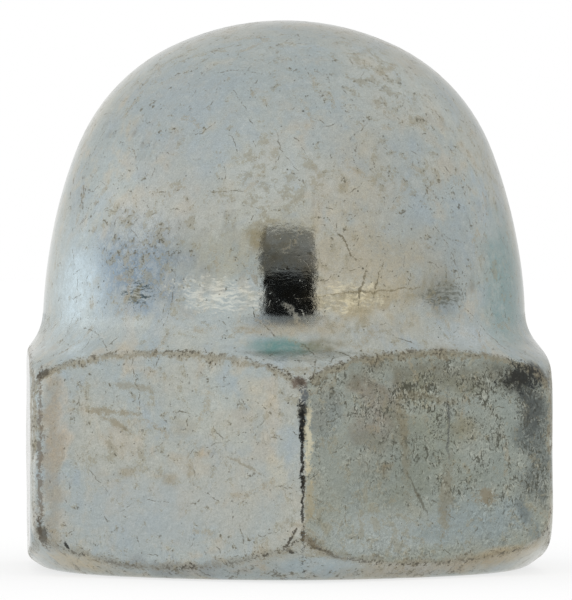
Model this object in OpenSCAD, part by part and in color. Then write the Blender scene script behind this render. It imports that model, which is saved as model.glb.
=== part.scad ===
// Domed cap nut for an M10 thread, 17 mm spanner size, in one piece.
//
// A steel blank is cold-formed in a die: a hexagon with conical slopes above and below,
// and an ogival dome that grows out of it through a hollow fillet.  A blind hole for the
// thread is then made from below.  The outside is one turned outline cut to the hexagon.
//
// The nut stands on its bearing face at Z = 0 with its axis on +Z, and one corner of the
// hexagon points to -Y.  Lengths are in millimetres and angles in degrees.

/* [Hexagon] */
// Width across the flats
across_flats = 16.9; // [16:0.1:18]
// Rounding of the six upright edges
corner_r = 0.7; // [0.3:0.05:2.5]
// Height at which the top slope would meet the dome, before the hollow fillet
hex_h = 7.65; // [6.5:0.05:8.5]
// Diameter of the blank, where both slopes turn upright
blank_d = 20.2; // [19.4:0.1:22]
// Fall of the top slope, from level
top_slope = 36; // [26:1:40]
// Rounding between the top slope and the sides
top_edge_r = 2.5; // [0.3:0.1:3]
// Rise of the bottom slope, from level
bottom_slope = 36; // [20:0.5:45]
// Rounding between the bottom slope and the sides
bottom_edge_r = 2.5; // [0.3:0.1:4]

/* [Dome] */
// Height of the whole nut
overall_h = 18; // [15:0.1:22]
// Diameter of the dome where its side would meet the top slope
dome_d = 15.95; // [14:0.05:16.8]
// Inward lean of the dome's side at its foot
draft = 2.6; // [0:0.1:6]
// How far the side bends inward before it reaches the shoulder
side_bend = 18; // [8:1:30]
// Radius of the shoulder
shoulder_r = 6.3; // [4:0.05:8]
// Half of the angle that the crown's arc covers
crown_spread = 25; // [12:0.5:40]
// Hollow fillet between the top slope and the dome
foot_fillet_r = 1.6; // [0.3:0.1:4]

/* [Bearing face] */
// Diameter of the flat bearing face, before its edge is rounded
bearing_d = 15.9; // [13:0.05:16.5]
// Rounding of the bearing face's edge
bearing_edge_r = 0.9; // [0.1:0.1:2.5]

/* [Threaded hole] */
// Diameter of the hole for the thread: M10 x 1.5 is tapped in 8.5
hole_d = 8.5; // [7:0.1:9.4]
// Depth of the hole's round wall, measured from the bearing face
hole_depth = 13.4; // [10:0.1:14]
// Full angle of the hole's pointed end
point_angle = 118; // [90:1:150]
// Diameter of the countersink at the mouth
mouth_d = 10.8; // [10:0.1:12]
// Full angle of the countersink
mouth_angle = 120; // [60:1:120]

/* [Hidden] */

$fn = 96;
// Largest turn from one point of the outline's arcs to the next
arc_step = 4;
// The same for the hexagon's upright edges
corner_step = 15;
// How far a cutting shape reaches past the faces that it cuts
overcut = 1;
zinc_grey = [0.66, 0.69, 0.70];

apothem = across_flats / 2;
blank_r = blank_d / 2;
dome_r = dome_d / 2;
bearing_r = bearing_d / 2;
hole_r = hole_d / 2;
mouth_r = mouth_d / 2;

// ---- Plane geometry: points are [radius, height], directions are angles from level ----

// A step of the given length in a direction
function polar(length, direction) = length * [cos(direction), sin(direction)];

// Direction from one point to another
function heading(from, to) = atan2(to.y - from.y, to.x - from.x);

// Half the angle that a path turns through at point p, as seen from inside the corner
function half_angle(before, p, after) =
    acos((before - p) * (after - p) / norm(before - p) / norm(after - p)) / 2;

// Points of an arc, its start left out
function arc(centre, r, start, end, step = arc_step) =
    let (n = max(1, ceil(abs(end - start) / step)))
    [for (i = [1 : n]) centre + polar(r, start + (end - start) * i / n)];

// Corner p, rounded with radius r on the way from one neighbour to the other
function rounded(before, p, after, r) =
    let (
        half = half_angle(before, p, after),
        radius = min(r, room(before, p, after)),
        back = radius / tan(half),
        first = p + polar(back, heading(p, before)),
        last = p + polar(back, heading(p, after)),
        inward = heading(p, (first + last) / 2),
        centre = p + polar(radius / sin(half), inward),
        start = heading(centre, first),
        turn = (heading(centre, last) - start + 540) % 360 - 180
    )
    concat([first], arc(centre, radius, start, start + turn));

// Largest radius that leaves half of both neighbouring sides straight
function room(before, p, after) =
    min(norm(before - p), norm(after - p)) / 2 * tan(half_angle(before, p, after));

// ---- The outside, seen in section ----

bearing_edge = [bearing_r, 0];
bottom_corner = [blank_r, (blank_r - bearing_r) * tan(bottom_slope)];
top_corner = [blank_r, hex_h - (blank_r - dome_r) * tan(top_slope)];
foot = [dome_r, hex_h];

// Above the fillet at its foot, the dome is three arcs that follow each other without a kink.
// The arcs of the side and of the crown get the radii that close it on the axis, at the top.
above_foot = foot + polar(overall_h - hex_h, 90 + draft);
slope_part = concat(
    rounded([0, 0], bearing_edge, bottom_corner, bearing_edge_r),
    rounded(bearing_edge, bottom_corner, top_corner, bottom_edge_r),
    rounded(bottom_corner, top_corner, foot, top_edge_r),
    rounded(top_corner, foot, above_foot, foot_fillet_r)
);
dome_start = slope_part[len(slope_part) - 1];
shoulder_start = draft + side_bend;
crown_start = 90 - crown_spread;

// What an arc of radius 1 adds to the radius and the height, from one direction to another
function gain(start, end) = polar(1, end) - polar(1, start);

side_gain = gain(draft, shoulder_start);
crown_gain = gain(crown_start, 90);
left_over = [0, overall_h] - dome_start - shoulder_r * gain(shoulder_start, crown_start);
side_r = cross(left_over, crown_gain) / cross(side_gain, crown_gain);
crown_r = cross(side_gain, left_over) / cross(side_gain, crown_gain);

side_centre = dome_start - polar(side_r, draft);
shoulder_centre = side_centre + polar(side_r - shoulder_r, shoulder_start);
crown_centre = [0, overall_h - crown_r];
dome_part = concat(
    arc(side_centre, side_r, draft, shoulder_start),
    arc(shoulder_centre, shoulder_r, shoulder_start, crown_start),
    arc(crown_centre, crown_r, crown_start, 90)
);

// ---- The hexagon, seen from above ----

corner_reach = (apothem - corner_r) / cos(30);
hexagon = [
    for (corner = [0 : 5])
        let (out = 60 * corner - 90)
        each arc(polar(corner_reach, out), corner_r, out - 30 - corner_step, out + 30, corner_step)
];

// ---- Solids ----

// The cold-formed blank, with its dome
module blank() {
    intersection() {
        rotate_extrude()
            polygon(concat([[0, 0]], slope_part, dome_part));
        translate([0, 0, -overcut])
            linear_extrude(overall_h + 2 * overcut)
                polygon(hexagon);
    }
}

// The space that the drill and the countersink take out
module threaded_hole() {
    mouth_lean = tan(mouth_angle / 2);
    rotate_extrude()
        polygon([
            [0, -overcut],
            [mouth_r + overcut * mouth_lean, -overcut],
            [hole_r, (mouth_r - hole_r) / mouth_lean],
            [hole_r, hole_depth],
            [0, hole_depth + hole_r / tan(point_angle / 2)]
        ]);
}

module cap_nut() {
    color(zinc_grey)
        difference() {
            blank();
            threaded_hole();
        }
}

cap_nut();
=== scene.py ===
import math

import bpy
import numpy as np
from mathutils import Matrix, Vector


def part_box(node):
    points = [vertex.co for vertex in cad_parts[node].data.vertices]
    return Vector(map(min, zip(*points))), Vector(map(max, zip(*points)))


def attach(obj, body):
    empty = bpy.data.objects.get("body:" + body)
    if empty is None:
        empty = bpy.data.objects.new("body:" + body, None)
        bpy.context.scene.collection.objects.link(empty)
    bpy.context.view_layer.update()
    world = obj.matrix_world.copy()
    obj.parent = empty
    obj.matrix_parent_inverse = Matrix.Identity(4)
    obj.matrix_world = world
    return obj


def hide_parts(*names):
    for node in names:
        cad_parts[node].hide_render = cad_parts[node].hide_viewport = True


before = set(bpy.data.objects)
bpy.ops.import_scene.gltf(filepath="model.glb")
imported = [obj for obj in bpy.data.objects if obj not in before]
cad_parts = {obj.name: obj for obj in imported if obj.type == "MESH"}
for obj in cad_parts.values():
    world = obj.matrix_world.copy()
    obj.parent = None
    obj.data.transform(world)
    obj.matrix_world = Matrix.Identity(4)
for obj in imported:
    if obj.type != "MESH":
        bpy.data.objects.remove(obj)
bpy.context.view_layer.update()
_, nut_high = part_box("cap_nut")

MM = 0.001
SEED = 7
SECTOR = math.pi / 3      # one sixth of a turn

# ---- Sizes of the nut, in mm and degrees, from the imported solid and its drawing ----

OVERALL_H = nut_high[2] / MM
APOTHEM = nut_high[0] / MM
HEX_H = 7.65
BLANK_R = 10.1
TOP_SLOPE = 36.0
TOP_EDGE_R = 2.5
BOTTOM_SLOPE = 36.0
BOTTOM_EDGE_R = 2.5
DOME_R = 7.975
DRAFT = 2.6
SIDE_BEND = 18.0
SHOULDER_R = 6.3
CROWN_SPREAD = 25.0
FOOT_FILLET_R = 1.6
BEARING_R = 7.95
BEARING_EDGE_R = 0.9
HOLE_R = 4.25
HOLE_DEPTH = 13.4
POINT_ANGLE = 118.0
MOUTH_R = 5.4
MOUTH_ANGLE = 120.0

# The M10 x 1.5 thread, which the solid leaves out
THREAD_PITCH = 1.5
THREAD_DEPTH = 0.78
THREAD_END = 11.6
GROOVE_HALF = 0.45        # half the groove's width at its mouth, as a share of the pitch
ROOT_HALF = 0.09          # and at its bottom

# ---- How the formed blank strays from its true shape, in mm ----

FLAT_RIPPLE = 0.012       # unevenness of the flats
SLOPE_RIPPLE = 0.014      # of the slopes
DOME_RIPPLE = 0.008       # and of the dome
FOOT_SWELL = 0.055        # the bottom slope swells at the upright edges, and shrinks between them
ARC_HOLLOW = 0.15         # how hollow it is under the rough flat, whose arc is shallower
CORNER_LIFT = 0.067       # the top slope stands higher at the upright edges, lower between them
EDGE_SOFT = 0.2           # width over which a slope turns into a flat
CORNER_SOFT = 0.45        # what is added to it at the upright edges

# Sharpness of the six upright edges: a larger exponent is a tighter edge. The front edge comes
# first, and its own sharpness is given at four heights instead.
EDGE_SHARP = np.array([60, 58, 48, 44, 80, 84])
FRONT_HEIGHTS = [2.0, 3.6, 4.4, 5.3]
FRONT_SHARP = [62, 66, 62, 56]
SHARP_DRIFT = 8           # how much the others change on their way up

# ---- Rows and columns of the mesh ----

ARC_STEP = 1.5            # largest turn between two points of the outline's arcs, in degrees
COLUMNS = 90              # columns in each sixth
EVEN_SHARE = 0.22         # share of their spacing that is even
CROWDING = 2.1            # how strongly the rest crowds to the upright edges
# From each height up, how far apart the rows are along the outline
ROW_STEPS = [(0, 0.1), (2.6, 0.17), (5.2, 0.095), (8.6, 0.4)]
HOLE_COLUMNS, HOLE_ROWS = 132, 104
SHARP_ANGLE = 32          # faces that meet at more than this are shaded as an edge

# ---- Camera: a long lens, nearly level, with the front edge a little to its right ----

TURN = math.radians(3.38)
CAMERA_AWAY = 181.0
CAMERA_H = 10.25
AIM_H = 8.79
AIM_RIGHT = 0.064
LENS = 329.4

right = np.array([math.cos(TURN), -math.sin(TURN), 0])
forward = np.array([math.sin(TURN), math.cos(TURN), 0])


def place(across, away, height):
    """A point in the camera's own directions: across to the right, away in front of the nut."""
    p = right * across - forward * away
    return (p[0] * MM, p[1] * MM, height * MM)


def add_camera():
    camera = bpy.data.objects.new("camera", bpy.data.cameras.new("camera"))
    bpy.context.scene.collection.objects.link(camera)
    camera.data.lens = LENS
    camera.data.clip_start = 0.001
    camera.data.clip_end = 20
    camera.location = place(0, CAMERA_AWAY, CAMERA_H)
    line = Vector(place(AIM_RIGHT, 0, AIM_H)) - camera.location
    camera.rotation_euler = line.to_track_quat("-Z", "Y").to_euler()
    bpy.context.scene.camera = camera


add_camera()

# ---- Colours ----


def srgb(r, g, b):
    """A colour written as screen values from 0 to 255."""
    def lin(c):
        c /= 255
        return c / 12.92 if c <= 0.04045 else ((c + 0.055) / 1.055) ** 2.4
    return (lin(r), lin(g), lin(b))


COOL_GREY = srgb(156, 164, 163)
WARM_GREY = srgb(164, 166, 158)
TAN_GREY = srgb(170, 163, 146)
DRIFT_BLUE = srgb(149, 162, 170)
DRIFT_TAN = srgb(174, 165, 148)
ROUGH_SHADED_GREY = srgb(130, 136, 125)
# painted glints and painted dark reflections, low on the dome
PAINTED_GLINT_LEFT = srgb(232, 230, 216)
PAINTED_GLINT_RIGHT = srgb(224, 214, 182)
DARK_REFLECTION_LEFT = srgb(66, 78, 82)
DARK_REFLECTION_RIGHT = srgb(96, 98, 88)
SMEAR_TAN = srgb(150, 140, 117)
SCRATCH_BROWN = srgb(88, 82, 66)
FLECK_TAN = srgb(138, 132, 110)
SPECK_BROWN = srgb(80, 75, 60)
FLAKE_PALE = srgb(184, 186, 180)
NICK_PALE = srgb(186, 189, 178)
NICK_DARK = srgb(68, 68, 57)
PIT_DARK = srgb(62, 58, 48)
STAIN_TAN = srgb(132, 124, 102)
DIRT_BROWN = srgb(60, 54, 42)
EDGE_TINT = (0.9, 0.9, 0.88)

# ---- Where the wear, the painted light and the painted shade are, on the two flats and the half of the dome that face the camera ----

# Soft tints: across and up in mm, half width, half height, tilt in degrees, raggedness,
# softness, strength, and the colour as screen values.
TINTS = [
    (-2.2, 10.3, 2.6, 0.85, 0, 0.5, 0.5, 0.6, (140, 145, 138)),    # painted shade above the left glint, a darker reflection
    (-2.4, 10.4, 1.5, 0.8, 0, 1.6, 0.4, 0.3, (170, 163, 140)),
    (-4.8, 9.9, 1.6, 1.4, 10, 0.5, 0.8, 0.85, (113, 129, 143)),    # blue patch on the dome
    (-7.0, 9.2, 0.95, 1.6, 0, 0.4, 0.9, 0.85, (184, 198, 204)),    # painted highlight on the flank
    (2.3, 12.6, 1.1, 1.8, 0, 0.8, 0.7, 0.5, (170, 160, 138)),      # tan on the dome's right
    # painted shade: a darker reflection low on the dome's right
    (4.4, 10.3, 2.6, 1.1, 0, 0.8, 0.6, 0.6, (145, 153, 152)),
    (-1.6, 16.2, 3.8, 1.6, 0, 0.6, 0.6, 0.5, (150, 160, 162)),     # blue near its top
    (-5.4, 7.95, 1.3, 0.38, 0, 0.3, 0.5, 0.35, (180, 185, 181)),   # painted light on the fillet, left, where it mirrors the bright tent
    (0.3, 7.95, 1.6, 0.22, 0, 0.5, 0.6, 0.5, (158, 148, 126)),     # tan under the glints
    # this and the next: painted light on the fillet
    (5.9, 7.7, 1.1, 0.35, 0, 0.4, 0.6, 0.5, (170, 177, 178)),
    (-2.6, 7.95, 1.3, 0.35, 0, 0.4, 0.6, 0.2, (180, 183, 177)),
    (0.1, 11.2, 0.8, 0.5, 0, 0.8, 0.6, 0.45, (152, 144, 118)),     # tan over the lens
    (-3.6, 12.2, 1.6, 1.3, 0, 0.7, 0.8, 0.5, (164, 166, 162)),
    (2.7, 9.7, 2.0, 1.6, 0, 0.5, 0.6, 0.6, (164, 155, 133)),       # warm area beside the glint
    (2.6, 8.9, 1.5, 0.5, 0, 0.6, 0.6, 0.6, (150, 140, 114)),
    (7.3, 9.4, 0.8, 1.9, 0, 0.3, 0.6, 0.9, (122, 143, 143)),       # teal flank
    (5.05, 9.0, 0.7, 0.42, 0, 0.8, 0.6, 0.5, (118, 120, 110)),     # painted dark reflection
    (-0.72, 10.7, 0.3, 0.55, 0, 1.0, 0.4, 0.75, (132, 124, 100)),  # brown stain over the lens
    (-0.1, 7.4, 1.05, 0.24, 0, 0.3, 0.5, 0.9, (98, 130, 127)),     # teal on the top slope
    (1.1, 7.45, 0.7, 0.2, 0, 0.5, 0.6, 0.7, (124, 120, 100)),
    (-4.4, 2.2, 2.3, 1.1, 0, 0.4, 0.6, 0.6, (158, 165, 165)),      # blue on the left flat
    (-1.6, 3.2, 1.4, 1.6, 0, 0.4, 0.7, 0.5, (166, 166, 157)),
    (-7.25, 4.8, 0.4, 1.2, 0, 0.6, 0.5, 0.7, (176, 167, 152)),     # pink tan at its left
    (-0.9, 5.8, 0.45, 0.65, 0, 0.8, 0.5, 0.5, (176, 171, 154)),
    (-0.35, 5.0, 0.2, 0.9, 0, 0.6, 0.5, 0.45, (176, 168, 152)),
    (-0.2, 3.4, 0.3, 0.5, 0, 0.7, 0.5, 0.45, (177, 173, 156)),
    (-2.3, 5.3, 1.0, 0.7, -30, 0.6, 0.7, 0.5, (172, 176, 168)),
    (3.0, 5.3, 0.75, 1.2, 0, 0.8, 0.6, 0.7, (128, 118, 106)),      # pink grey, right flat
    (1.2, 5.2, 0.5, 0.7, 0, 0.6, 0.5, 0.5, (112, 118, 116)),
    (4.9, 6.5, 2.6, 0.5, -4, 0.7, 0.6, 0.7, (112, 110, 96)),       # dark under the right arc
    (3.2, 1.5, 1.8, 0.7, 0, 0.5, 0.6, 0.8, (155, 162, 159)),
    (4.4, 4.2, 1.2, 1.6, 0, 0.8, 0.7, 0.5, (130, 132, 112)),
    (6.9, 4.1, 0.6, 1.6, 0, 0.8, 0.6, 0.35, (124, 132, 126)),
    (-3.4, 15.1, 1.7, 1.2, 0, 0.7, 0.7, 0.6, (149, 158, 161)),
    (3.4, 15.4, 1.9, 1.2, 0, 0.7, 0.7, 0.55, (168, 174, 171)),     # the dome's pale upper part
    (0.2, 13.3, 1.8, 1.2, 0, 0.7, 0.7, 0.45, (162, 169, 168)),
    (3.8, 12.6, 1.1, 1.3, 0, 0.7, 0.7, 0.5, (148, 158, 160)),
    (6.2, 1.8, 1.7, 0.7, 0, 0.6, 0.6, 0.75, (137, 148, 149)),
    (-7.38, 3.8, 0.3, 2.8, 0, 0.5, 0.4, 0.6, (146, 139, 124)),     # soft brown, left edge
    (-8.06, 3.7, 0.10, 3.1, 0, 0.5, 0.7, 0.6, (206, 207, 202)),    # painted highlight along the left edge
    (3.6, 3.6, 1.6, 1.3, 0, 0.8, 0.6, 0.4, (120, 126, 120)),
    (8.1, 4.3, 0.55, 2.2, 0, 0.8, 0.6, 0.75, (96, 102, 100)),      # dark right part
    (7.65, 6.3, 0.6, 0.4, 0, 0.6, 0.6, 0.8, (60, 60, 56)),
    (-3.3, 4.7, 0.3, 0.42, 0, 1.0, 0.6, 0.4, (150, 142, 122)),     # tan smears
    (-2.6, 4.05, 0.24, 0.18, 0, 0.6, 0.5, 0.6, (172, 152, 122)),
    (-5.1, 3.4, 0.42, 0.14, 12, 1.0, 0.5, 0.5, (146, 134, 108)),
    (-3.9, 3.3, 0.34, 0.16, -20, 1.0, 0.5, 0.5, (146, 134, 108)),
    (5.75, 4.9, 0.22, 0.5, 35, 1.0, 0.6, 0.45, (128, 120, 96)),
    (3.2, 3.6, 0.2, 0.24, 0, 1.0, 0.5, 0.6, (122, 110, 86)),
    (1.0, 0.55, 1.1, 0.25, 0, 0.4, 0.5, 0.6, (158, 172, 177)),     # blue on the bottom slope
    (7.0, 0.62, 1.5, 0.28, 10, 0.3, 0.5, 0.85, (158, 146, 120)),
    (-6.6, 0.45, 1.0, 0.25, -8, 0.4, 0.5, 0.7, (176, 164, 138)),
    (4.2, 0.32, 2.2, 0.3, 4, 0.6, 0.6, 0.6, (156, 148, 132)),
    (-3.3, 0.35, 1.6, 0.25, 0, 0.8, 0.6, 0.6, (134, 138, 138)),
]

# Where there are more specks and nicks than elsewhere, or fewer: across and up in mm, half
# width, half height, tilt in degrees, and how many more.
SPECKLES = [
    (-4.6, 10.6, 1.2, 0.7, -10, 0.65),  # in the blue patch
    (-6.8, 12.4, 0.5, 1.0, 0, 0.5),
    (4.1, 15.4, 0.9, 1.1, 35, 0.2),     # the dome's upper right
    (1.7, 13.9, 0.5, 0.8, 0, 0.5),
    (5.3, 12.2, 0.9, 0.5, 0, 0.5),
    (5.4, 9.9, 0.7, 0.5, 0, 0.4),
    (0.0, 13.4, 1.4, 1.5, 0, -0.8),     # clean above the lens
    (-2.2, 13.4, 1.4, 1.6, 0, -0.5),
    (-7.1, 9.4, 0.8, 1.6, 0, -0.8),     # the painted highlight on the flank
    (0.0, 7.95, 7.0, 0.5, 0, -0.7),     # the fillet
    (-4.2, 2.3, 2.0, 1.0, 0, -0.7),     # the left flat's blue part
    (0.1, 10.4, 1.1, 2.2, 0, -0.5),     # the lens
    (2.0, 2.6, 1.5, 1.3, 0, -0.6),      # the right flat's smoother lower left
    (4.6, 1.7, 2.2, 0.7, 0, -0.5),
    (1.6, 4.6, 0.7, 1.2, 0, -0.4),
    (5.0, 5.9, 2.2, 0.6, 0, 0.35),      # and rougher top
]
SPECKLE_RAGGED, SPECKLE_SOFT = 0.5, 0.6

# Sharper marks, in the same terms as the tints
MARKS = [
    (7.62, 6.35, 0.56, 0.32, 0, 2.6, 0.25, 0.9, (44, 44, 41)),     # dark patch, right flat
    (7.95, 5.3, 0.32, 0.8, 6, 2.2, 0.4, 0.6, (58, 62, 62)),
    (0.44, 6.28, 0.24, 0.16, 0, 1.0, 0.4, 0.8, (92, 74, 60)),      # brown at the front edge's top
    # painted reflection of the dark lens, black, from here down the front edge
    (0.60, 5.45, 0.17, 0.2, 0, 1.2, 0.3, 0.8, (30, 28, 24)),
    (0.62, 5.86, 0.12, 0.2, 0, 2.8, 0.4, 0.7, (60, 68, 80)),
    (0.57, 4.95, 0.11, 0.6, 2, 1.2, 0.3, 0.95, (22, 22, 20)),      # painted reflection of the lens, black along the front edge
    (0.56, 3.9, 0.055, 1.1, 0, 1.6, 0.5, 0.9, (28, 28, 26)),
    (0.59, 2.45, 0.05, 1.4, 0, 2.0, 0.5, 0.85, (36, 33, 28)),
    (0.76, 4.5, 0.10, 0.95, 0, 1.8, 0.5, 0.8, (202, 196, 170)),    # cream beside it
    (0.80, 2.7, 0.11, 0.6, 0, 1.8, 0.5, 0.5, (166, 153, 120)),
    (0.85, 1.32, 0.26, 0.14, -30, 2.8, 0.4, 0.65, (104, 92, 70)),  # brown at its foot
    (0.23, 1.4, 0.3, 0.045, 68, 2.0, 0.5, 0.85, (58, 50, 39)),
    (0.26, 1.0, 0.17, 0.045, -8, 1.6, 0.5, 0.85, (52, 46, 38)),
    (1.3, 0.98, 0.5, 0.05, -25, 2.0, 0.4, 0.6, (80, 74, 58)),
    (-7.80, 3.8, 0.07, 2.9, 0, 2.4, 0.5, 0.65, (104, 90, 74)),     # grime up the left edge
    (-7.70, 6.5, 0.22, 0.12, 40, 1.2, 0.4, 0.8, (66, 58, 44)),
    (-7.72, 1.35, 0.16, 0.45, 10, 2.0, 0.4, 0.75, (66, 58, 44)),
    (-6.95, 1.0, 0.05, 0.16, 40, 0.5, 0.3, 0.9, (30, 28, 24)),
    (-4.8, 6.1, 0.65, 0.11, -8, 1.3, 0.5, 0.5, (138, 130, 108)),   # tan smears, left flat
    (-5.6, 5.3, 0.85, 0.09, -3, 1.5, 0.5, 0.6, (138, 128, 104)),
    (-5.3, 4.9, 0.45, 0.09, -28, 1.3, 0.5, 0.6, (138, 128, 104)),
    (-1.3, 3.7, 0.55, 0.05, -25, 1.6, 0.5, 0.5, (128, 120, 98)),
    (3.75, 4.6, 0.14, 1.5, 5, 1.6, 0.6, 0.5, (126, 118, 96)),      # tan streaks, right flat
    (4.22, 2.7, 0.04, 0.75, 25, 0.8, 0.5, 0.6, (84, 80, 66)),
    (4.6, 5.75, 1.0, 0.12, -10, 1.7, 0.6, 0.45, (126, 118, 96)),
    (5.22, 4.9, 0.035, 1.1, 0, 0.8, 0.5, 0.6, (74, 76, 76)),
    (5.15, 2.6, 0.17, 1.0, -4, 1.6, 0.6, 0.5, (126, 118, 98)),
    (6.4, 2.6, 0.3, 0.22, 0, 1.8, 0.5, 0.6, (130, 116, 90)),
    (1.95, 10.6, 0.6, 0.034, -55, 3.2, 0.5, 0.75, (96, 88, 66)),   # scratches beside the lens
    (2.44, 9.2, 0.6, 0.024, 76, 2.6, 0.5, 0.7, (100, 92, 70)),
    (2.99, 9.55, 0.48, 0.024, 72, 2.6, 0.5, 0.7, (100, 92, 70)),
    (2.75, 9.12, 1.7, 0.026, 5, 2.8, 0.5, 0.6, (112, 102, 76)),
]

# ---- Coordinates on the skin, light, floor and hood ----

AROUND_R = 8.0            # radius at which the distance around the nut is measured
CROWN_H = 15.6            # over this height the skin's coordinates are level ones
WOBBLE = 0.3              # how far noise bends scratches and marks, in mm

PLAIN_LIGHT = 0.95        # strength of the light that isn't a reflection
FLOOR_HALF = 2.0          # in metres
FLOOR_GAP = 0.00002       # in metres, under the bearing face
PAPER_GREY = 0.8
FLOOR_GLOW = 1.18
GLOW_SHARE = 0.6          # share of the floor's own glow, which keeps it white

# The dark hood over the lens, as the nut's polished skin mirrors it: three strips of one
# sheet that slopes gently away from the height of the dome's top, so that the dome's front
# sees it from below and the top only sees its edge. Each has a name, how bright it is, and
# its two ends, the one at the lens first: how far from the nut, and its left and right, in mm.
HOOD_FALL = 0.1
HOOD = [
    ("hood_black", 0.014, (65.3, -10.6, 15.9), (30.2, -4.5, 6.8)),
    ("hood_dark", 0.24, (30.2, -5.6, 7.1), (23.3, -4.1, 5.2)),
    ("hood_faint", 0.37, (23.3, -4.0, 5.2), (18.9, -3.1, 4.0)),
]

# ---- The turned outline: the same points as in the solid's source ----


def polar(length, direction):
    a = math.radians(direction)
    return length * np.array([math.cos(a), math.sin(a)])


def heading(a, b):
    return math.degrees(math.atan2(b[1] - a[1], b[0] - a[0]))


def half_angle(before, p, after):
    u, w = before - p, after - p
    return math.degrees(math.acos(u @ w / np.linalg.norm(u) / np.linalg.norm(w))) / 2


def arc(centre, r, start, end):
    n = max(1, math.ceil(abs(end - start) / ARC_STEP))
    return [centre + polar(r, start + (end - start) * i / n) for i in range(1, n + 1)]


def rounded(before, p, after, r):
    """Corner p as an arc, on the way from one neighbour to the other."""
    half = half_angle(before, p, after)
    room = min(np.linalg.norm(before - p), np.linalg.norm(after - p)) / 2
    r = min(r, room * math.tan(math.radians(half)))
    back = r / math.tan(math.radians(half))
    first = p + polar(back, heading(p, before))
    last = p + polar(back, heading(p, after))
    centre = p + polar(r / math.sin(math.radians(half)), heading(p, (first + last) / 2))
    start = heading(centre, first)
    turn = (heading(centre, last) - start + 540) % 360 - 180
    return [first] + arc(centre, r, start, start + turn)


def outline():
    """Points [radius, height] from the bearing face's edge up to the apex."""
    bearing_edge = np.array([BEARING_R, 0.0])
    rise = math.tan(math.radians(BOTTOM_SLOPE))
    fall = math.tan(math.radians(TOP_SLOPE))
    bottom = np.array([BLANK_R, (BLANK_R - BEARING_R) * rise])
    top = np.array([BLANK_R, HEX_H - (BLANK_R - DOME_R) * fall])
    foot = np.array([DOME_R, HEX_H])
    above = foot + polar(OVERALL_H - HEX_H, 90 + DRAFT)
    pts = (rounded(np.zeros(2), bearing_edge, bottom, BEARING_EDGE_R)
           + rounded(bearing_edge, bottom, top, BOTTOM_EDGE_R)
           + rounded(bottom, top, foot, TOP_EDGE_R)
           + rounded(top, foot, above, FOOT_FILLET_R))
    start = pts[-1]
    bend, crown = DRAFT + SIDE_BEND, 90 - CROWN_SPREAD

    def gain(a, b):
        return polar(1, b) - polar(1, a)

    # the side's and the crown's radii close the dome on the axis, at the top
    left = np.array([0, OVERALL_H]) - start - SHOULDER_R * gain(bend, crown)
    side_r, crown_r = np.linalg.solve(
        np.stack([gain(DRAFT, bend), gain(crown, 90)], 1), left)
    side_c = start - polar(side_r, DRAFT)
    shoulder_c = side_c + polar(side_r - SHOULDER_R, bend)
    pts += arc(side_c, side_r, DRAFT, bend)
    pts += arc(shoulder_c, SHOULDER_R, bend, crown)
    pts += arc(np.array([0, OVERALL_H - crown_r]), crown_r, crown, 90)
    return np.array(pts)


def sector_angles():
    """Angles of one sixth, from one flat's middle to the next, closer at the upright edge."""
    t = np.linspace(-1, 1, COLUMNS + 1)[:-1]
    crowded = np.sign(t) * np.abs(t) ** CROWDING
    return SECTOR / 2 * (EVEN_SHARE * t + (1 - EVEN_SHARE) * crowded)


def outline_rows():
    """Radius and height of each row of the mesh."""
    pts = outline()
    run = np.concatenate([[0], np.cumsum(np.linalg.norm(np.diff(pts, axis=0), axis=1))])
    begins = np.interp([height for height, _ in ROW_STEPS], pts[:, 1], run)
    ends = np.append(begins[1:], run[-1])
    rows = []
    for begin, end, (_, step) in zip(begins, ends, ROW_STEPS):
        n = max(1, round((end - begin) / step))
        rows += list(begin + (end - begin) * np.arange(n) / n)
    return np.interp(rows, run, pts[:, 0]), np.interp(rows, run, pts[:, 1])


ANGLES = np.concatenate([sector_angles() + i * SECTOR for i in range(6)])
EDGE_OF = np.repeat(np.arange(6), COLUMNS)
ROW_R, ROW_Z = outline_rows()

# ---- The nut's outside ----


def ripple(points, size, count, seed):
    """Smooth seeded unevenness, about -1 to 1, with bumps of the given size in mm."""
    g = np.random.default_rng(seed)
    total = np.zeros(points.shape[:-1])
    for _ in range(count):
        k = g.normal(size=3)
        k *= 2 * math.pi / (size * g.uniform(0.7, 1.6)) / np.linalg.norm(k)
        total += np.sin(points @ k + g.uniform(0, 2 * math.pi))
    return total / math.sqrt(count)


def smooth_min(a, b, width):
    h = np.maximum(width - np.abs(a - b), 0) / width
    return np.minimum(a, b) - h * h * width / 4


def hexagon_radius(angle, z, edge):
    """Distance of the flats from the axis, with rounded upright edges between them."""
    front = np.interp(z, FRONT_HEIGHTS, FRONT_SHARP)
    other = EDGE_SHARP[edge] + SHARP_DRIFT * np.sin(z * 0.9 + edge)
    sharp = np.where(edge == 0, front, other)
    x = (angle + SECTOR / 2) % SECTOR - SECTOR / 2
    near_flat, far_flat = np.cos(SECTOR / 2 - x), np.cos(SECTOR / 2 + x)
    return APOTHEM * (near_flat ** sharp + far_flat ** sharp) ** (-1 / sharp)


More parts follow.
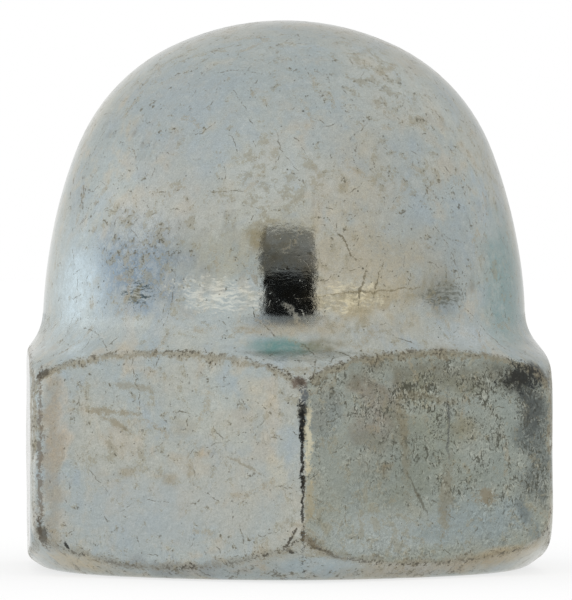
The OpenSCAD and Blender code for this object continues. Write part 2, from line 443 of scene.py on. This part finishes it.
def surface():
    """The outside as a grid of points. With it, how far each point is inside its flat's
    outline, and how far from the nearest upright edge, in mm and negative past them."""
    al, r = np.meshgrid(ANGLES, ROW_R)
    _, z = np.meshgrid(ANGLES, ROW_Z)
    edge = np.broadcast_to(EDGE_OF, al.shape)
    true = np.stack([r * np.sin(al), -r * np.cos(al), z], -1)
    at_edges = np.cos(6 * al)

    flat = hexagon_radius(al, z, edge)
    flat = flat - FLAT_RIPPLE * (1 + ripple(true, 3.5, 9, SEED + 1))

    turned = r + FOOT_SWELL * at_edges * np.clip(1 - z / 1.6, 0, 1) ** 2
    hollow = np.exp(-((z - 0.5) / 0.4) ** 2) * (1 - at_edges) / 2
    turned = turned - ARC_HOLLOW * hollow * ((al > 0) & (al < SECTOR))
    turned = turned + SLOPE_RIPPLE * ripple(true, 4.0, 9, SEED + 2) * np.clip(9 - z, 0, 1)

    from_edge = (al + SECTOR / 2) % SECTOR - SECTOR / 2
    soft = np.exp(-(from_edge / math.radians(4)) ** 2) * (edge != 0)
    radius = smooth_min(turned, flat, EDGE_SOFT + CORNER_SOFT * soft)
    on_hex = np.clip((8.0 - z) / 0.8, 0, 1)
    radius = radius * on_hex + turned * (1 - on_hex)
    on_dome = np.clip((z - 8.2) / 1.5, 0, 1) * np.clip(r / 3, 0, 1)
    radius = radius + DOME_RIPPLE * ripple(true, 5.0, 9, SEED + 3) * on_dome

    on_slope = np.clip((z - 5.2) / 0.9, 0, 1) * np.clip((8.8 - z) / 0.8, 0, 1)
    height = z + CORNER_LIFT * at_edges * on_slope * on_slope * (3 - 2 * on_slope)
    pts = np.stack([radius * np.sin(al), -radius * np.cos(al), height], -1)

    inside = turned - flat
    turn = (al % SECTOR) - SECTOR / 2
    beside = APOTHEM * (math.tan(SECTOR / 2) - np.abs(np.tan(turn)))
    steep = np.hypot(np.gradient(inside, axis=0) / np.maximum(np.gradient(z, axis=0), 1e-3),
                     np.gradient(inside, axis=1) / (APOTHEM * np.gradient(ANGLES)))
    rim = smooth_min(inside / np.clip(steep, 0.3, 1.6), beside, 0.5)
    return pts, rim, beside


def patches_at(points, patches):
    """For each patch, how far each point of the skin lies in it, from 0 to 1."""
    across = points @ np.array([right[0], right[1], 0])
    up, depth = points[..., 2], points[..., 1]
    angle = np.abs(np.arctan2(points[..., 0], -depth))
    # none on the back, or on the flats beside the two in view
    on_side = (angle > SECTOR + 0.04) & (up < 7.0)
    front = np.clip((1.5 - angle) / 0.35, 0, 1) * ~on_side
    uneven = ripple(points, 0.9, 14, SEED + 5) * 0.5 + ripple(points, 0.35, 14, SEED + 6) * 0.3
    for h, v, half_w, half_h, tilt, ragged, soft in patches:
        c, n = math.cos(math.radians(tilt)), math.sin(math.radians(tilt))
        dh, dv = across - h, up - v
        far = np.hypot((dh * c + dv * n) / half_w, (dv * c - dh * n) / half_h)
        far = far + uneven * ragged
        t = np.clip((1 + soft - far) / (2 * soft), 0, 1)
        yield t * t * (3 - 2 * t) * front


def tints_at(points):
    """Colour and strength of the soft tints at each point of the skin."""
    colour = np.zeros(points.shape[:-1] + (3,))
    cover = np.zeros(points.shape[:-1])
    patches = patches_at(points, [tint[:7] for tint in TINTS])
    for patch, (*_, strength, tint) in zip(patches, TINTS):
        a = patch * strength
        covered = a + cover * (1 - a)
        share = (a / np.maximum(covered, 1e-6))[..., None]
        colour = colour * (1 - share) + np.array(srgb(*tint)) * share
        cover = covered
    return np.concatenate([colour, cover[..., None]], -1)


def speckles_at(points):
    """How many more specks each point of the skin has than elsewhere."""
    places = [(*where, SPECKLE_RAGGED, SPECKLE_SOFT) for *where, _ in SPECKLES]
    patches = patches_at(points, places)
    return sum(patch * more for patch, (*_, more) in zip(patches, SPECKLES))


# ---- The hole, and the whole mesh ----


def thread_grid():
    """The hole's wall, from its mouth up, with the thread's turns."""
    al = np.linspace(0, 2 * math.pi, HOLE_COLUMNS, endpoint=False)
    z = np.linspace(0, HOLE_DEPTH, HOLE_ROWS)
    a, h = np.meshgrid(al, z)
    # in every column, the nearest row moves onto each edge of the turns
    edges = (0.5 - GROOVE_HALF, 0.5 - ROOT_HALF, 0.5 + ROOT_HALF, 0.5 + GROOVE_HALF)
    for turn in range(-1, math.ceil(THREAD_END / THREAD_PITCH)):
        for edge in edges:
            there = THREAD_PITCH * (turn + edge + al / (2 * math.pi))
            row = np.rint(there / z[1]).astype(int)
            inside = (row > 0) & (row < HOLE_ROWS - 1)
            h[row[inside], np.flatnonzero(inside)] = there[inside]
    phase = (h / THREAD_PITCH - a / (2 * math.pi)) % 1
    groove = np.clip((GROOVE_HALF - np.abs(phase - 0.5)) / (GROOVE_HALF - ROOT_HALF), 0, 1)
    groove = groove * np.clip((THREAD_END - h) / THREAD_PITCH, 0, 1)
    wall = HOLE_R + THREAD_DEPTH * groove
    cone = MOUTH_R - h / math.tan(math.radians(90 - MOUTH_ANGLE / 2))
    wall = -smooth_min(-wall, -cone, 0.12)
    return np.stack([wall * np.sin(a), -wall * np.cos(a), h], -1)


def net(start, rows, cols):
    """Quads of a grid of points that closes on itself."""
    i, j = np.meshgrid(np.arange(rows - 1), np.arange(cols), indexing="ij")
    k = (j + 1) % cols
    quad = np.stack([i * cols + j, i * cols + k, (i + 1) * cols + k, (i + 1) * cols + j], -1)
    return quad.reshape(-1, 4) + start


def bearing_ring(hole_start):
    """The flat bearing face, between the outside's first row and the hole's."""
    faces = []
    angles = np.sort(ANGLES % (2 * math.pi))
    first = int(np.argmin(ANGLES % (2 * math.pi)))
    cols = len(angles)
    i = j = 0
    while i < cols or j < HOLE_COLUMNS:
        outer = (first + i) % cols
        inner = hole_start + j % HOLE_COLUMNS
        here = angles[(i + 1) % cols] + (2 * math.pi if i + 1 >= cols else 0)
        there = 2 * math.pi * (j + 1) / HOLE_COLUMNS
        if j >= HOLE_COLUMNS or (i < cols and here <= there):
            faces.append([inner, (first + i + 1) % cols, outer])
            i += 1
        else:
            faces.append([inner, hole_start + (j + 1) % HOLE_COLUMNS, outer])
            j += 1
    return faces


def build_nut():
    grid, rim, beside = surface()
    hole = thread_grid()
    rows, cols = grid.shape[:2]
    skin_end = rows * cols
    hole_start = skin_end + 1
    point = hole_start + HOLE_ROWS * HOLE_COLUMNS
    tip = HOLE_DEPTH + HOLE_R / math.tan(math.radians(POINT_ANGLE / 2))
    verts = np.concatenate([grid.reshape(-1, 3), [[0, 0, OVERALL_H]],
                            hole.reshape(-1, 3), [[0, 0, tip]]])

    faces = net(0, rows, cols).tolist()
    last = (rows - 1) * cols
    faces += [[last + j, last + (j + 1) % cols, skin_end] for j in range(cols)]
    faces += net(hole_start, HOLE_ROWS, HOLE_COLUMNS)[:, ::-1].tolist()
    last = hole_start + (HOLE_ROWS - 1) * HOLE_COLUMNS
    faces += [[last + (j + 1) % HOLE_COLUMNS, last + j, point] for j in range(HOLE_COLUMNS)]
    faces += bearing_ring(hole_start)
    mesh = bpy.data.meshes.new("nut_body")
    mesh.from_pydata((verts * MM).tolist(), [], faces)

    # what the material needs to know about each point of the skin
    for name, known, elsewhere in (("flat_rim", rim, -9.0), ("beside_edge", beside, -9.0),
                                   ("speckled", speckles_at(grid), 0.0)):
        layer = mesh.attributes.new(name, "FLOAT", "POINT")
        values = np.full(len(verts), elsewhere, np.float32)
        values[:skin_end] = known.reshape(-1)
        layer.data.foreach_set("value", values)
    layer = mesh.attributes.new("tint", "FLOAT_COLOR", "POINT")
    values = np.zeros((len(verts), 4), np.float32)
    values[:skin_end] = tints_at(grid).reshape(-1, 4)
    layer.data.foreach_set("color", values.reshape(-1))

    mesh.polygons.foreach_set("use_smooth", [True] * len(mesh.polygons))
    mesh.set_sharp_from_angle(angle=math.radians(SHARP_ANGLE))
    mesh.validate()
    mesh.update()
    nut = bpy.data.objects.new("nut_body", mesh)
    bpy.context.scene.collection.objects.link(nut)
    return nut


# ---- A small language for shader sums ----


class Shade:
    """Adds nodes to a tree."""

    def __init__(self, tree):
        self.tree = tree

    def node(self, kind, **settings):
        n = self.tree.nodes.new(kind)
        for key, value in settings.items():
            setattr(n, key, value)
        return n

    def feed(self, socket, value):
        if isinstance(value, Val):
            self.tree.links.new(value.out, socket)
        elif isinstance(value, bpy.types.NodeSocket):
            self.tree.links.new(value, socket)
        else:
            socket.default_value = value

    def math(self, op, *args):
        n = self.node("ShaderNodeMath", operation=op)
        for socket, value in zip(n.inputs, args):
            self.feed(socket, value)
        return Val(self, n.outputs[0])

    def step(self, value, a, b):
        """0 below a, 1 above b, smooth between; a may be above b."""
        if a > b:
            return 1 - self.step(value, b, a)
        n = self.node("ShaderNodeMapRange", interpolation_type="SMOOTHSTEP")
        self.feed(n.inputs["Value"], value)
        n.inputs["From Min"].default_value = a
        n.inputs["From Max"].default_value = b
        return Val(self, n.outputs[0])

    def vector(self, x, y, z):
        n = self.node("ShaderNodeCombineXYZ")
        for socket, value in zip(n.inputs, (x, y, z)):
            self.feed(socket, value)
        return n.outputs[0]

    def vector_math(self, op, *args):
        n = self.node("ShaderNodeVectorMath", operation=op)
        for socket, value in zip(n.inputs, args):
            self.feed(socket, value)
        return n

    def scale(self, vector, factor):
        """A vector or a colour, times a factor."""
        n = self.vector_math("SCALE", vector)
        self.feed(n.inputs["Scale"], factor)
        return n.outputs[0]

    def parts(self, vector, kind="ShaderNodeSeparateXYZ"):
        """The three numbers of a vector or a colour."""
        n = self.node(kind)
        self.feed(n.inputs[0], vector)
        return [Val(self, out) for out in n.outputs]

    def noise_node(self, at, scale, detail, rough, distort=0.0):
        n = self.node("ShaderNodeTexNoise", noise_dimensions="3D")
        self.feed(n.inputs["Vector"], at)
        n.inputs["Scale"].default_value = scale
        n.inputs["Detail"].default_value = detail
        n.inputs["Roughness"].default_value = rough
        n.inputs["Distortion"].default_value = distort
        return n

    def noise(self, *args):
        return Val(self, self.noise_node(*args).outputs[0])

    def cells(self, at, scale, dimensions):
        """The nearest cell's node, and three random numbers of that cell."""
        n = self.node("ShaderNodeTexVoronoi", voronoi_dimensions=dimensions)
        self.feed(n.inputs["Vector"], at)
        n.inputs["Scale"].default_value = scale
        return n, self.parts(n.outputs["Color"], "ShaderNodeSeparateColor")

    def mix(self, amount, a, b):
        """Colour a, turned into b by amount."""
        n = self.node("ShaderNodeMix", data_type="RGBA")
        self.feed(n.inputs[0], amount)
        for socket, colour in ((n.inputs[6], a), (n.inputs[7], b)):
            self.feed(socket, (*colour, 1.0) if isinstance(colour, tuple) else colour)
        return n.outputs[2]


class Val:
    """A number in a shader, which can be reckoned with."""

    def __init__(self, shade, out):
        self.s, self.out = shade, out

    def __add__(self, o):
        return self.s.math("ADD", self, o)

    __radd__ = __add__

    def __sub__(self, o):
        return self.s.math("SUBTRACT", self, o)

    def __rsub__(self, o):
        return self.s.math("SUBTRACT", o, self)

    def __mul__(self, o):
        return self.s.math("MULTIPLY", self, o)

    __rmul__ = __mul__

    def __truediv__(self, o):
        return self.s.math("DIVIDE", self, o)

    def abs(self):
        return self.s.math("ABSOLUTE", self)

    def clamp(self):
        n = self.s.node("ShaderNodeClamp")
        self.s.feed(n.inputs[0], self)
        return Val(self.s, n.outputs[0])


def strokes(s, at, scale, length, width, bend, share):
    """Short bent scratches, at most one to a cell: 1 in the scratch."""
    cell, (chance, tilt, size) = s.cells(at, scale, "2D")
    away = s.vector_math("SUBTRACT", at, cell.outputs["Position"]).outputs[0]
    spin = s.node("ShaderNodeVectorRotate", rotation_type="Z_AXIS")
    s.feed(spin.inputs["Vector"], away)
    s.feed(spin.inputs["Angle"], tilt * math.pi)
    along, off, _ = s.parts(spin.outputs[0])
    reach = (size * 0.7 + 0.3) * length
    off = (off + along * along * bend).abs()
    mask = s.step(off / width, 1.0, 0.35) * s.step(along.abs() / reach, 1.0, 0.7)
    return mask * s.math("LESS_THAN", chance, share)


def dots(s, at, scale, radius, share):
    """Round pits of different sizes, at most one to a cell."""
    cell, (chance, size, _) = s.cells(at, scale, "3D")
    near = Val(s, cell.outputs["Distance"]) / (size * 0.8 + 0.2) / (radius * scale)
    return s.step(near, 1.0, 0.5) * s.math("LESS_THAN", chance, share)


def level_line(s, field, level, width):
    """Thin wandering lines, along one level of a noise field."""
    return s.step((field - level).abs(), width, width * 0.3)


# ---- Material of the nut ----


class ZincPlate:
    """Worn zinc plating, laid in layers, each over the colour below it."""

    def __init__(self):
        self.material = bpy.data.materials.new("worn_zinc_plate")
        self.material.use_nodes = True
        self.s = Shade(self.material.node_tree)
        self.bsdf = self.s.tree.nodes["Principled BSDF"]
        self.find_places()
        self.lay_plating()
        self.lay_painted_reflections()
        self.lay_scratches()
        self.lay_specks()
        self.lay_nicks()
        self.lay_grime()
        self.lay_marks()
        self.set_gloss()
        self.set_relief()

    def paint(self, amount, colour, toned=False):
        if toned:
            colour = self.s.scale(colour, self.tone)
        self.colour = self.s.mix(amount, self.colour, colour)

    def find_places(self):
        """Where a point of the skin is, in mm, and the unevenness that the layers share."""
        s = self.s
        self.at = at = s.scale(s.node("ShaderNodeTexCoord").outputs["Object"], 1 / MM)
        x, y, z = s.parts(at)
        self.z = z
        self.across = x * float(right[0]) + y * float(right[1])
        self.rim, self.beside, self.speckled = (
            Val(s, s.node("ShaderNodeAttribute", attribute_name=name).outputs["Fac"])
            for name in ("flat_rim", "beside_edge", "speckled"))

        # noise from broad to fine, each about -0.5 to 0.5
        self.broad = s.noise(at, 0.33, 3, 0.5) - 0.5
        self.mid = s.noise(at, 1.4, 5, 0.62) - 0.5
        self.blot = s.noise(at, 4.0, 4, 0.7) - 0.5
        self.fine = s.noise(at, 11.0, 3, 0.7) - 0.5
        self.grain = s.noise(at, 30.0, 2, 0.6) - 0.5
        self.crumbs = self.blot * 1.7 + self.fine * 1.5 + self.grain * 0.7

        # flat coordinates on the skin: around and up, or level ones over the crown
        angle = s.math("ARCTAN2", x, 0 - y)
        around = angle * AROUND_R
        level = s.math("GREATER_THAN", z, CROWN_H)
        u = around + (x - around) * level
        v = z + (y - z) * level
        wobble = s.noise_node(at, 3.0, 3.0, 0.5).outputs["Color"]
        bent = s.vector_math("MULTIPLY_ADD", wobble, (WOBBLE, WOBBLE, WOBBLE), s.vector(u, v, 0.0))
        self.on_skin = bent.outputs[0]

        # and ones seen square-on to the side that faces the camera
        flat_on = s.vector(self.across - WOBBLE / 2, z - WOBBLE / 2, 0.0)
        bent = s.vector_math("MULTIPLY_ADD", wobble, (WOBBLE, WOBBLE, 0.0), flat_on)
        self.facing = bent.outputs[0]
        # marks stay off the back, and off the flats beside the two in view
        on_side = s.step(angle.abs(), SECTOR, SECTOR + 0.02) * s.step(z, 7.4, 7.0)
        self.front = s.step(y, 0.5, -0.5) * (1 - on_side)

        # the flat that faces front-right is rougher and more scratched than the rest
        self.flat = s.step(self.rim, -0.02, 0.06)
        in_sector = s.step(angle, 0.0, 0.02) * s.step(angle, SECTOR + 0.01, SECTOR - 0.02)
        self.right_face = self.flat * in_sector
        self.scarred = self.right_face * (self.speckled + 1)
        self.shiny = s.step(z, 8.3, 8.6) * s.step(z, 12.0, 10.6)

    def spot(self, h, v, half_w, half_h, tilt, ragged, soft):
        """A ragged patch on the side that faces the camera, in the terms of MARKS."""
        s = self.s
        m = s.node("ShaderNodeMapping", vector_type="TEXTURE")
        s.feed(m.inputs["Vector"], self.facing)
        m.inputs["Location"].default_value = (h, v, 0)
        m.inputs["Rotation"].default_value = (0, 0, math.radians(tilt))
        m.inputs["Scale"].default_value = (half_w, half_h, 1)
        far = Val(s, s.vector_math("LENGTH", m.outputs[0]).outputs["Value"])
        return s.step(far + self.crumbs * ragged, 1 + soft, 1 - soft) * self.front

    def lay_plating(self):
        """Grey that drifts from cool to warm, with painted shade of small dents, a darker grey on
        the rough flat that is partly painted shade, and the soft tints over it, some of them
        painted light and shade.
        """
        s, mid, broad, blot, fine = self.s, self.mid, self.broad, self.blot, self.fine
        # painted shade and light of small dents: a noise less a slightly shifted copy of it, as if
        # lit from one side
        shifted = s.vector_math("ADD", self.at, (-0.02, 0.0, 0.04)).outputs[0]
        dent_shading = s.noise(self.at, 5.0, 3, 0.6, 0.5) - s.noise(shifted, 5.0, 3, 0.6, 0.5)
        self.clumps = s.step(mid + broad * 0.5, -0.12, 0.12)
        tone = 1.07 + mid * 0.22 + fine * 0.3 + self.grain * 0.6 + blot * 0.25
        # the painted dent shade is stronger on the rough flat
        scar_shading = self.scarred * (self.clumps * 1.2 + 0.2)
        self.tone = tone + dent_shading * (0.3 + self.flat * 0.1 + scar_shading)

        self.colour = s.mix(s.step(broad + mid * 0.25, -0.14, 0.14), COOL_GREY, WARM_GREY)
        self.paint(s.step(mid - broad * 0.6, 0.06, 0.26) * 0.5, TAN_GREY)
        self.colour = s.scale(self.colour, self.tone)
        hue = s.noise(self.at, 0.85, 3, 0.55, 0.4) - 0.5
        self.paint(s.step(hue, 0.02, 0.17) * 0.45, DRIFT_BLUE, toned=True)
        self.paint(s.step(hue, -0.02, -0.17) * 0.45, DRIFT_TAN, toned=True)
        # the rough flat is painted a darker grey: partly its own colour, partly painted shade on
        # the side that gets less light
        self.paint(self.right_face * 0.62, ROUGH_SHADED_GREY, toned=True)

        tint = s.node("ShaderNodeAttribute", attribute_name="tint").outputs
        amount = Val(s, tint["Alpha"])
        amount = (amount + amount * (blot * 1.3 + fine * 0.9)).clamp()
        self.paint(amount, tint["Color"], toned=True)

    def lay_painted_reflections(self):
        """Painted reflections low on the dome: painted glints in fine lines, where strips of light
        are mirrored, and two painted dark reflections.
        """
        s = self.s
        wide = s.vector_math("MULTIPLY", self.on_skin, (2.6, 13.0, 1.0)).outputs[0]
        self.streaks = s.noise(wide, 1.0, 3, 0.6)
        glint_lines = s.step(self.streaks, 0.40, 0.64)
        dark_lines = s.step(self.streaks, 0.56, 0.46)
        self.paint(self.spot(-1.95, 9.0, 1.4, 0.5, -7, 1.3, 0.35) * glint_lines * 0.42, PAINTED_GLINT_LEFT)
        self.paint(self.spot(1.9, 8.95, 1.0, 0.42, 0, 1.6, 0.35) * glint_lines * 0.5, PAINTED_GLINT_RIGHT)
        self.paint(self.spot(-4.65, 9.08, 0.36, 0.38, 0, 1.6, 0.4) * dark_lines, DARK_REFLECTION_LEFT)
        self.paint(self.spot(5.05, 9.0, 0.6, 0.3, 0, 1.6, 0.4) * dark_lines * 0.7, DARK_REFLECTION_RIGHT)

    def lay_scratches(self):
        """Tan smears and thin brown scratches."""
        s, blot, fine = self.s, self.blot, self.fine
        smear = strokes(s, self.on_skin, 0.62, 0.9, 0.13, 0.35, 0.5)
        self.smear = smear * s.step(blot + fine, -0.1, 0.1)
        self.paint(self.smear * 0.5, SMEAR_TAN)
        long = strokes(s, self.on_skin, 0.4, 1.3, 0.026, 0.12, 0.8)
        short = strokes(s, self.on_skin, 1.1, 0.5, 0.024, 0.5, 0.7)
        long = long * s.step(blot + fine, -0.02, 0.08)
        short = short * s.step(blot - fine, -0.04, 0.08)
        self.scratches = long + short
        self.paint(self.scratches * 0.7, SCRATCH_BROWN)

    def lay_specks(self):
        """Tan flecks, small dark specks and pale flakes."""
        s = self.s
        flake = s.noise(self.at, 2.5, 7, 0.76)
        self.flecks = s.step(flake + self.broad * 0.3, 0.565, 0.60)
        self.paint(self.flecks * 0.45, FLECK_TAN, toned=True)
        near_foot = s.step(self.z, 0.9, 0.2)
        specks = s.noise(self.at, 7.0, 3, 0.7) + flake * 0.8
        specks = specks + near_foot * 0.07 + self.speckled * 0.11
        self.paint(s.step(specks, 1.055, 1.11) * 0.7, SPECK_BROWN)
        pale = s.step(flake - self.broad * 0.3, 0.44, 0.40) * (1 - self.right_face)
        self.paint(pale * 0.2, FLAKE_PALE, toned=True)

    def lay_nicks(self):
        """Worm-like nicks with a pale side, most of them on the rough flat, and round pits."""
        s, blot, right_face = self.s, self.blot, self.right_face
        tall = s.vector_math("MULTIPLY", self.at, (1.0, 1.0, 0.55)).outputs[0]
        large = s.noise(tall, 3.2, 1, 0.5, 0.9)
        small = s.noise(tall, 7.0, 1, 0.5, 0.6)
        upper = s.step(self.z + blot * 2, 1.5, 3.4)
        often = 0.12 + self.flat * 0.1 + right_face * (upper * 0.5 + 0.15)
        often = often * (self.speckled + 1)
        gaps = s.step(blot + self.mid * 0.7, 0.0, 0.12)
        gaps_small = s.step(self.fine + self.clumps * 0.16, 0.10, 0.22)
        nicks = level_line(s, large, 0.5, 0.055) * gaps
        nicks = nicks + level_line(s, small, 0.5, 0.09) * gaps_small
        pale = level_line(s, large, 0.56, 0.05) * gaps
        pale = pale + level_line(s, small, 0.60, 0.07) * gaps_small
        self.nicks = (nicks * often).clamp()
        self.paint((pale * often).clamp() * 0.4, NICK_PALE)
        self.paint(self.nicks * (0.6 + right_face * 0.25), NICK_DARK)
        self.pits = dots(s, self.at, 1.6, 0.05, 0.5) + dots(s, self.at, 4.0, 0.03, 0.35)
        self.paint(self.pits.clamp() * 0.75, PIT_DARK)

    def lay_grime(self):
        """Grime that settled around the flats, and along the outer upright edges."""
        s, rim, mid, blot = self.s, self.rim, self.mid, self.blot
        upper = s.step(self.z, 3.6, 4.2)
        near_edge = s.step(self.beside, 2.4, 0.4) * (1 - upper)
        centre = 0.04 + upper * 0.06 - near_edge * 0.13 + mid * 0.5
        band = (1 - (rim - centre).abs() / (0.36 + mid * 0.8)).clamp()
        # none along the upright edges in the middle: the front edge's grime, and its painted
        # reflection of the lens, are in MARKS
        upright = s.step(self.beside - rim, 0.3, 0.05)
        middle = s.step(self.across, -6.5, -5.5) * s.step(self.across, 7.0, 6.5)
        band = band * (1 - upright * middle)
        stain = s.step(band * 0.8 + blot * 1.2 + self.fine * 0.7, 0.38, 0.72)
        self.paint(stain * (upper * 0.24 + 0.38), STAIN_TAN, toned=True)
        core = (1 - (rim + 0.02).abs() / 0.1).clamp() * (1 - s.step(band, 0.2, 0.0))
        dirt = s.step(band * 0.45 + core * 0.28 + self.fine * 2.6 + blot * 1.4, 0.58, 0.80)
        patchy = s.step(mid + self.broad * 0.6, -0.16, 0.12)
        self.stain, self.dirt = stain, dirt * (0.4 + patchy * 0.6)
        self.paint(self.dirt * 0.85, DIRT_BROWN)

    def lay_marks(self):
        self.marked = 0.0
        for *where, strength, tint in MARKS:
            patch = self.spot(*where) * strength
            self.paint(patch, srgb(*tint))
            self.marked = patch + self.marked
        self.s.feed(self.bsdf.inputs["Base Color"], self.colour)

    def set_gloss(self):
        """Bare plating is metal and smooth, above all low on the dome, and grime is not."""
        s = self.s
        grime = self.flecks * (1 - self.shiny) * 0.25 + self.stain * 0.5 + self.dirt
        grime = grime + self.smear * 0.4 + self.nicks * 0.4 + self.marked * 0.6
        grime = grime.clamp()
        s.feed(self.bsdf.inputs["Metallic"], 1 - grime * 0.75)
        s.feed(self.bsdf.inputs["Specular IOR Level"], 0.5 - self.marked.clamp() * 0.4)
        fillet = s.step(self.z, 7.5, 7.8) * s.step(self.z, 8.45, 8.3)
        rough = 0.10 - self.shiny * 0.04 + self.mid * 0.08 + self.fine * 0.1
        rough = rough + grime * 0.35 + self.right_face * 0.12 + fillet * 0.15
        s.feed(self.bsdf.inputs["Roughness"], s.math("MAXIMUM", rough, 0.05))
        self.bsdf.inputs["Specular Tint"].default_value = (*EDGE_TINT, 1)

    def set_relief(self):
        """Orange peel, grain, nicks and pits, in mm."""
        s, blot, fine = self.s, self.blot, self.fine
        matt = 1 - self.shiny * 0.75
        relief = s.noise(self.at, 2.2, 2, 0.5) * 0.005 + blot * 0.002
        relief = relief + (fine * 0.0022 + self.grain * 0.0012) * matt
        relief = relief + self.scarred * (fine * 0.008 + blot * 0.008)
        relief = relief + self.streaks * self.shiny * 0.002 + self.dirt * 0.004
        relief = relief - self.nicks * self.right_face * 0.010 - self.pits * 0.010
        relief = relief - self.scratches * matt * 0.004
        bump = s.node("ShaderNodeBump")
        bump.inputs["Strength"].default_value = 1.0
        bump.inputs["Distance"].default_value = MM
        s.feed(bump.inputs["Height"], relief)
        s.feed(self.bsdf.inputs["Normal"], bump.outputs[0])


nut = build_nut()
nut.data.materials.append(ZincPlate().material)
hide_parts("cap_nut")
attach(nut, "root")

# ---- Light tent: an even white all around, with soft patches that only reflections see ----


def pitch_tent():
    world = bpy.data.worlds.new("tent")
    bpy.context.scene.world = world
    world.use_nodes = True
    s = Shade(world.node_tree)
    background = s.tree.nodes["Background"]
    direction = s.node("ShaderNodeTexCoord").outputs["Generated"]

    def along(axis):
        n = s.vector_math("DOT_PRODUCT", direction, [float(c) for c in axis])
        return Val(s, n.outputs["Value"])

    side, front, up = along(right), along(-forward), along((0, 0, 1))
    turn = s.math("ARCTAN2", side, front) * math.degrees(1)
    climb = s.math("ARCSINE", up) * math.degrees(1)

    def patch(centre, half_w, height, half_h, soft_w, soft_h):
        """A soft-edged patch of the tent, by direction in degrees; centre 0 is the lens."""
        w = s.step((turn - centre).abs(), half_w + soft_w, half_w - soft_w)
        return w * s.step((climb - height).abs(), half_h + soft_h, half_h - soft_h)

    level = 1.02 - side * 0.05 - s.step(up, 0.45, 0.9) * side * 0.06
    # two low strips of light beside the lens, each of several thin lines
    lines = s.math("SINE", climb * (2 * math.pi / 3.0)) * 0.5 + 0.5
    strips = patch(-33, 14, 9.2, 4.4, 12, 1.2) * 0.11 + patch(38, 14, 8.8, 3.8, 12, 1.4) * 0.14
    level = level + strips * (0.35 + lines * 0.65)
    # darker to the right, lighter to the left, and darker behind the nut
    level = level - patch(80, 9, 0, 10, 8, 7) * 0.15
    level = level + patch(-92, 28, 8, 16, 15, 9) * 0.2
    level = level - s.step(front, -0.55, -0.95) * s.step(side, -0.3, 0.1) * 0.18
    path = s.node("ShaderNodeLightPath")
    seen = Val(s, path.outputs["Is Camera Ray"])
    glossy = Val(s, path.outputs["Is Glossy Ray"])
    plain = PLAIN_LIGHT + glossy * (level - PLAIN_LIGHT)
    s.feed(background.inputs["Strength"], plain + seen * (1.0 - plain))
    background.inputs["Color"].default_value = (1, 1, 1, 1)


pitch_tent()

# ---- Floor, and the dark hood over the lens ----


def sheet(name, corners, material_name):
    """A flat sheet, the shader tree of its material, and the input that shows on it."""
    mesh = bpy.data.meshes.new(name)
    mesh.from_pydata(corners, [], [list(range(len(corners)))])
    obj = bpy.data.objects.new(name, mesh)
    bpy.context.scene.collection.objects.link(obj)
    mat = bpy.data.materials.new(material_name)
    mat.use_nodes = True
    mesh.materials.append(mat)
    s = Shade(mat.node_tree)
    s.tree.nodes.clear()
    return obj, s, s.node("ShaderNodeOutputMaterial").inputs["Surface"]


def glow(s, strength):
    n = s.node("ShaderNodeEmission")
    n.inputs["Color"].default_value = (1, 1, 1, 1)
    n.inputs["Strength"].default_value = strength
    return n.outputs[0]


def add_hood_strip(name, bright, near_end, far_end):
    """A strip of the hood, from one end to another, that only reflections see."""
    (near, near_left, near_right), (far, far_left, far_right) = near_end, far_end
    corners = [place(across, away, OVERALL_H - HOOD_FALL * away)
               for across, away in ((near_left, near), (near_right, near),
                                    (far_right, far), (far_left, far))]
    obj, s, skin_input = sheet(name, corners, name)
    s.feed(skin_input, glow(s, bright))
    obj.visible_camera = False
    obj.visible_diffuse = False
    obj.visible_shadow = False


def add_floor():
    half = FLOOR_HALF
    corners = [(-half, -half, 0), (half, -half, 0), (half, half, 0), (-half, half, 0)]
    obj, s, skin_input = sheet("floor", corners, "pale_floor")
    obj.location.z = -FLOOR_GAP
    paper = s.node("ShaderNodeBsdfDiffuse")
    paper.inputs["Color"].default_value = (PAPER_GREY, PAPER_GREY, PAPER_GREY, 1)
    mix = s.node("ShaderNodeMixShader")
    mix.inputs[0].default_value = GLOW_SHARE
    s.feed(mix.inputs[1], paper.outputs[0])
    s.feed(mix.inputs[2], glow(s, FLOOR_GLOW))
    s.feed(skin_input, mix.outputs[0])


for strip in HOOD:
    add_hood_strip(*strip)
add_floor()
bpy.context.scene.view_settings.view_transform = "Standard"
